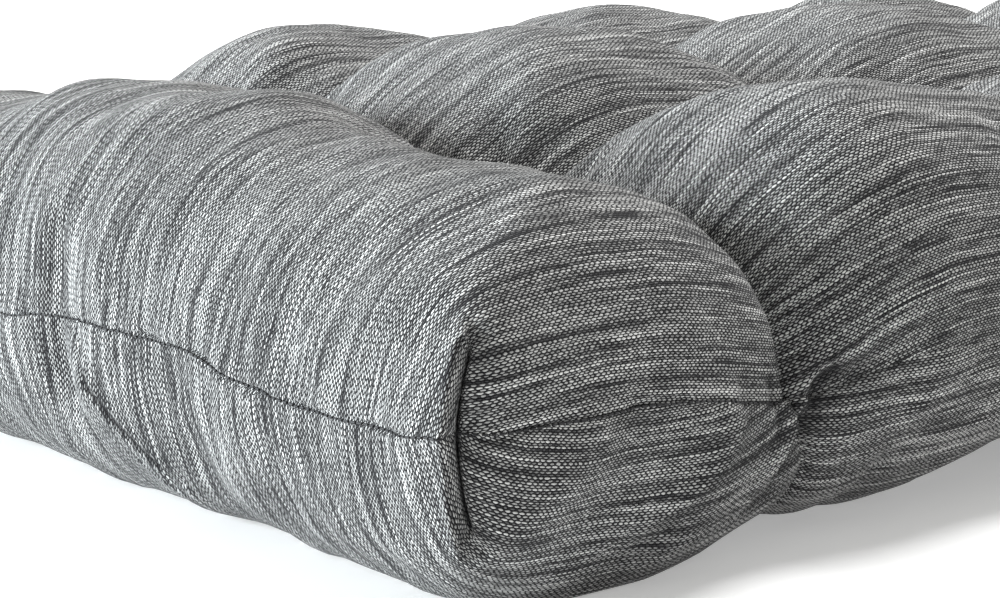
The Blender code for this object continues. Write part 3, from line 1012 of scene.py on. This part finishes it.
studio = {
    "floor": (0.89, 0.89, 0.89, 1),
    "floorGlow": 0.32,
    "floorRoughness": 0.9,
    "floorReach": 12.0,
    "sky": 0.345,
    "skyColour": (1.0, 0.99, 0.94, 1),
    "key": {"place": (-2.65, 1.4, 0.5), "aim": (-0.45, 0.0, 0.05), "size": 1.2, "power": 194.0,
            "colour": (0.905, 0.985, 1.025)},
    "top": {"place": (0.8, 0.6, 2.6), "aim": (0.0, 0.0, 0.0), "size": 2.2, "power": 155.0,
            "colour": (1.0, 1.0, 1.0)},
}


def areaLight(name, spec):
    light = bpy.data.lights.new(name, "AREA")
    light.shape = "DISK"
    light.size = spec["size"]
    light.energy = spec["power"]
    light.color = spec["colour"]
    lamp = placed(name, light)
    lamp.location = spec["place"]
    lamp.rotation_euler = (Vector(spec["aim"]) - Vector(spec["place"])).to_track_quat("-Z", "Y").to_euler()


def buildStudio():
    world = bpy.data.worlds.new("softStudio")
    bpy.context.scene.world = world
    world.use_nodes = True
    sky = world.node_tree.nodes["Background"].inputs
    sky["Color"].default_value = studio["skyColour"]
    sky["Strength"].default_value = studio["sky"]
    mesh = bpy.data.meshes.new("floor")
    reach = studio["floorReach"]
    corners = [(-reach, -reach, 0), (reach, -reach, 0), (reach, reach, 0), (-reach, reach, 0)]
    mesh.from_pydata(corners, [], [(0, 1, 2, 3)])
    floor = placed("floor", mesh)
    s = Shader("paleFloor")
    s.feed("Base Color", studio["floor"])
    s.feed("Roughness", studio["floorRoughness"])
    s.feed("Emission Color", (1, 1, 1, 1))
    s.feed("Emission Strength", studio["floorGlow"])
    mesh.materials.append(s.material)
    areaLight("keyLight", studio["key"])
    areaLight("topLight", studio["top"])


photoCamera = {
    "fromCorner": (-0.474, -0.599, 0.244),
    "yaw": 50.7,  # from +X towards +Y, in degrees
    "pitch": 10.5,  # downwards
    "roll": 0.26,
    "focal": 2816.0,  # in pixels of the picture
    "width": 1000,  # of the picture, in pixels
    "sensor": 36.0,
    "nearest": 0.01,
}


def buildCamera():
    yaw, pitch, roll = (math.radians(photoCamera[k]) for k in ("yaw", "pitch", "roll"))
    look = Vector((math.cos(yaw) * math.cos(pitch), math.sin(yaw) * math.cos(pitch), -math.sin(pitch)))
    level = look.cross(Vector((0, 0, 1))).normalized()
    lift = level.cross(look)
    right = level * math.cos(roll) + lift * math.sin(roll)
    up = lift * math.cos(roll) - level * math.sin(roll)
    place = nearCorner + Vector(photoCamera["fromCorner"])
    lens = bpy.data.cameras.new("photoCamera")
    lens.sensor_width = photoCamera["sensor"]
    lens.lens = photoCamera["focal"] * photoCamera["sensor"] / photoCamera["width"]
    lens.clip_start = photoCamera["nearest"]
    camera = placed("photoCamera", lens)
    turn = Matrix((right, up, -look)).transposed().to_4x4()
    camera.matrix_world = Matrix.Translation(place) @ turn
    bpy.context.scene.camera = camera


# The closing stitches, seen as short dark threads down in the seam and in the darts: real threads whose
# near-black colour is painted shade for the seam's gaps
stitches = {
    "length": 0.0018,
    "radius": 0.0004,
    "pitch": 0.0027,
    "lift": 0.0006,  # above the bottom of the seam
    "leastScale": (0.8, 0.8, 0.7),
    "mostScale": (1.1, 1.1, 1.15),
    "sides": 6,
    "seed": 4,
    # near-black: painted shade of the gaps in the seam, carried by the threads
    "colour": (0.012, 0.012, 0.014, 1),
    "roughness": 0.7,
}


def stitchTree():
    t = Tree(bpy.data.node_groups.new("stitchRow", "GeometryNodeTree"))
    ports = t.tree.interface
    ports.new_socket("Geometry", in_out="INPUT", socket_type="NodeSocketGeometry")
    inputs = {}
    for name, kind in (("Pitch", "Float"), ("Length", "Float"), ("Radius", "Float"), ("Seed", "Int"),
                       ("Thread", "Material")):
        inputs[name] = ports.new_socket(name, in_out="INPUT", socket_type="NodeSocket" + kind).identifier
    ports.new_socket("Geometry", in_out="OUTPUT", socket_type="NodeSocketGeometry")
    start = t.node("NodeGroupInput")
    path, pitch, long, radius, seed, dye = (t.signal(start, name) for name in ("Geometry", *inputs))
    curve = t.signal(t.node("GeometryNodeMeshToCurve", Mesh=path))
    spots = t.signal(t.node("GeometryNodeResampleCurve", {"mode": "LENGTH"}, Curve=curve, Length=pitch))
    way = t.signal(t.node("GeometryNodeInputTangent"))
    facing = t.signal(t.node("FunctionNodeAlignRotationToVector", {"axis": "Z"}, Vector=way))
    thread = t.node("GeometryNodeMeshCylinder", Vertices=stitches["sides"], Radius=radius, Depth=long)
    scale = t.signal(t.node("FunctionNodeRandomValue", {"data_type": "FLOAT_VECTOR"}, Seed=seed,
                            Min=stitches["leastScale"], Max=stitches["mostScale"]))
    laid = t.signal(t.node("GeometryNodeInstanceOnPoints", Points=spots, Instance=t.signal(thread),
                           Rotation=facing, Scale=scale))
    real = t.signal(t.node("GeometryNodeRealizeInstances", Geometry=laid))
    dyed = t.signal(t.node("GeometryNodeSetMaterial", Geometry=real, Material=dye))
    t.node("NodeGroupOutput", Geometry=dyed)
    return t.tree, inputs


def buildStitches(lines):
    s = Shader("stitchThread")
    s.feed("Base Color", stitches["colour"])
    s.feed("Roughness", stitches["roughness"])
    points, edges = [], []
    for k, line in enumerate(lines):
        start = len(points)
        points += line.tolist()
        hidden = covered(line)
        shown = [i for i in range(len(line) - 1) if not (hidden[i] and hidden[i + 1])]
        edges += [(start + i, start + i + 1) for i in shown]
        if k == 0:
            edges.append((start + len(line) - 1, start))  # the seam runs all round
    path = bpy.data.meshes.new("stitchPath")
    path.from_pydata(points, edges, [])
    row = placed("stitchPath", path)
    tree, inputs = stitchTree()
    sewn = row.modifiers.new("stitchRow", "NODES")
    sewn.node_group = tree
    for name in ("Pitch", "Length", "Radius", "Seed"):
        sewn[inputs[name]] = stitches[name.lower()]
    sewn[inputs["Thread"]] = s.material
    made = bpy.data.meshes.new_from_object(row.evaluated_get(bpy.context.evaluated_depsgraph_get()))
    bpy.data.objects.remove(row, do_unlink=True)
    made.name = "seamStitches"
    made.materials.clear()
    made.materials.append(s.material)
    return placed("seamStitches", made)


cover, sewnLines = buildCushion()
cover.data.materials.append(weaveMaterial())
print("cover:", len(cover.data.polygons), "faces")
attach(cover, "root")
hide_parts("cushion")
stitching = buildStitches(sewnLines)
print("stitches:", len(stitching.data.polygons), "faces")
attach(stitching, "root")
buildStudio()
buildCamera()
bpy.context.scene.view_settings.view_transform = "Standard"
print("studio and camera ready")
